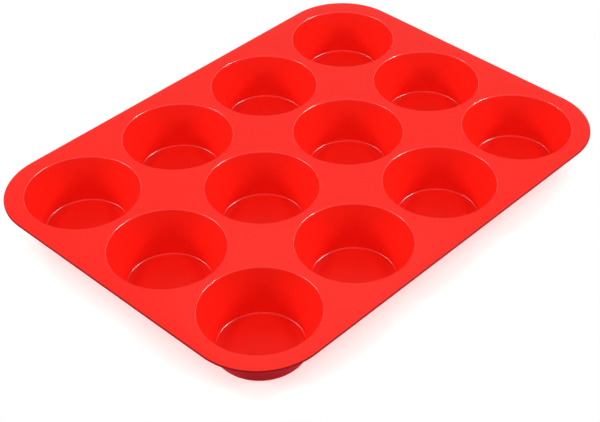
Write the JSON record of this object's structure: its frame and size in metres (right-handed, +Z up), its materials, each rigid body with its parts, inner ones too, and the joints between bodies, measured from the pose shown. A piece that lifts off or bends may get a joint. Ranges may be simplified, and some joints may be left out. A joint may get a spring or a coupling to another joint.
{
  "type": "silicone muffin pan",
  "caption": "Flexible red silicone muffin pan: a thin flat deck with rounded corners and a grid of round tapered cups that hang below it.",
  "frame": {"origin": "middle of the pan, on the surface that its cups stand on", "axes": "+X along the pan's long side, +Y along its short side, +Z up out of the cups' mouths"},
  "size_m": [0.3348, 0.2518, 0.03],
  "materials": {
    "red_silicone": "satin"
  },
  "bodies": {
    "strip_2": {"deck_strip_2": "red_silicone", "cup_wall_a2": "red_silicone", "cup_wall_b2": "red_silicone", "cup_wall_c2": "red_silicone", "fold_web_1": "red_silicone", "fold_web_2": "red_silicone"},
    "strip_1": {"deck_strip_1": "red_silicone", "cup_wall_a1": "red_silicone", "cup_wall_b1": "red_silicone", "cup_wall_c1": "red_silicone"},
    "strip_3": {"deck_strip_3": "red_silicone", "cup_wall_a3": "red_silicone", "cup_wall_b3": "red_silicone", "cup_wall_c3": "red_silicone", "fold_web_3": "red_silicone"},
    "strip_4": {"deck_strip_4": "red_silicone", "cup_wall_a4": "red_silicone", "cup_wall_b4": "red_silicone", "cup_wall_c4": "red_silicone"},
    "floor_a1": {"cup_floor_a1": "red_silicone"},
    "floor_a2": {"cup_floor_a2": "red_silicone"},
    "floor_a3": {"cup_floor_a3": "red_silicone"},
    "floor_a4": {"cup_floor_a4": "red_silicone"},
    "floor_b1": {"cup_floor_b1": "red_silicone"},
    "floor_b2": {"cup_floor_b2": "red_silicone"},
    "floor_b3": {"cup_floor_b3": "red_silicone"},
    "floor_b4": {"cup_floor_b4": "red_silicone"},
    "floor_c1": {"cup_floor_c1": "red_silicone"},
    "floor_c2": {"cup_floor_c2": "red_silicone"},
    "floor_c3": {"cup_floor_c3": "red_silicone"},
    "floor_c4": {"cup_floor_c4": "red_silicone"}
  },
  "joints": [
    {"name": "fold_1", "type": "hinge", "parent": "strip_2", "child": "strip_1", "pos_m": [-0.08002, 0, 0.0292], "axis": [0, 1, 0], "range_deg": [-30, 60], "stiffness_Nm_per_rad": 0.08, "deforming": ["fold_web_1"]},
    {"name": "fold_2", "type": "hinge", "parent": "strip_2", "child": "strip_3", "pos_m": [0, 0, 0.0292], "axis": [0, -1, 0], "range_deg": [-30, 60], "stiffness_Nm_per_rad": 0.08, "deforming": ["fold_web_2"]},
    {"name": "fold_3", "type": "hinge", "parent": "strip_3", "child": "strip_4", "pos_m": [0.08002, 0, 0.0292], "axis": [0, -1, 0], "range_deg": [-30, 60], "stiffness_Nm_per_rad": 0.08, "deforming": ["fold_web_3"]},
    {"name": "push_a1", "type": "slide", "parent": "strip_1", "child": "floor_a1", "axis": [0, 0, 1], "range_m": [0, 0.022], "stiffness_N_per_m": 270},
    {"name": "push_a2", "type": "slide", "parent": "strip_2", "child": "floor_a2", "axis": [0, 0, 1], "range_m": [0, 0.022], "stiffness_N_per_m": 270},
    {"name": "push_a3", "type": "slide", "parent": "strip_3", "child": "floor_a3", "axis": [0, 0, 1], "range_m": [0, 0.022], "stiffness_N_per_m": 270},
    {"name": "push_a4", "type": "slide", "parent": "strip_4", "child": "floor_a4", "axis": [0, 0, 1], "range_m": [0, 0.022], "stiffness_N_per_m": 270},
    {"name": "push_b1", "type": "slide", "parent": "strip_1", "child": "floor_b1", "axis": [0, 0, 1], "range_m": [0, 0.022], "stiffness_N_per_m": 270},
    {"name": "push_b2", "type": "slide", "parent": "strip_2", "child": "floor_b2", "axis": [0, 0, 1], "range_m": [0, 0.022], "stiffness_N_per_m": 270},
    {"name": "push_b3", "type": "slide", "parent": "strip_3", "child": "floor_b3", "axis": [0, 0, 1], "range_m": [0, 0.022], "stiffness_N_per_m": 270},
    {"name": "push_b4", "type": "slide", "parent": "strip_4", "child": "floor_b4", "axis": [0, 0, 1], "range_m": [0, 0.022], "stiffness_N_per_m": 270},
    {"name": "push_c1", "type": "slide", "parent": "strip_1", "child": "floor_c1", "axis": [0, 0, 1], "range_m": [0, 0.022], "stiffness_N_per_m": 270},
    {"name": "push_c2", "type": "slide", "parent": "strip_2", "child": "floor_c2", "axis": [0, 0, 1], "range_m": [0, 0.022], "stiffness_N_per_m": 270},
    {"name": "push_c3", "type": "slide", "parent": "strip_3", "child": "floor_c3", "axis": [0, 0, 1], "range_m": [0, 0.022], "stiffness_N_per_m": 270},
    {"name": "push_c4", "type": "slide", "parent": "strip_4", "child": "floor_c4", "axis": [0, 0, 1], "range_m": [0, 0.022], "stiffness_N_per_m": 270}
  ]
}
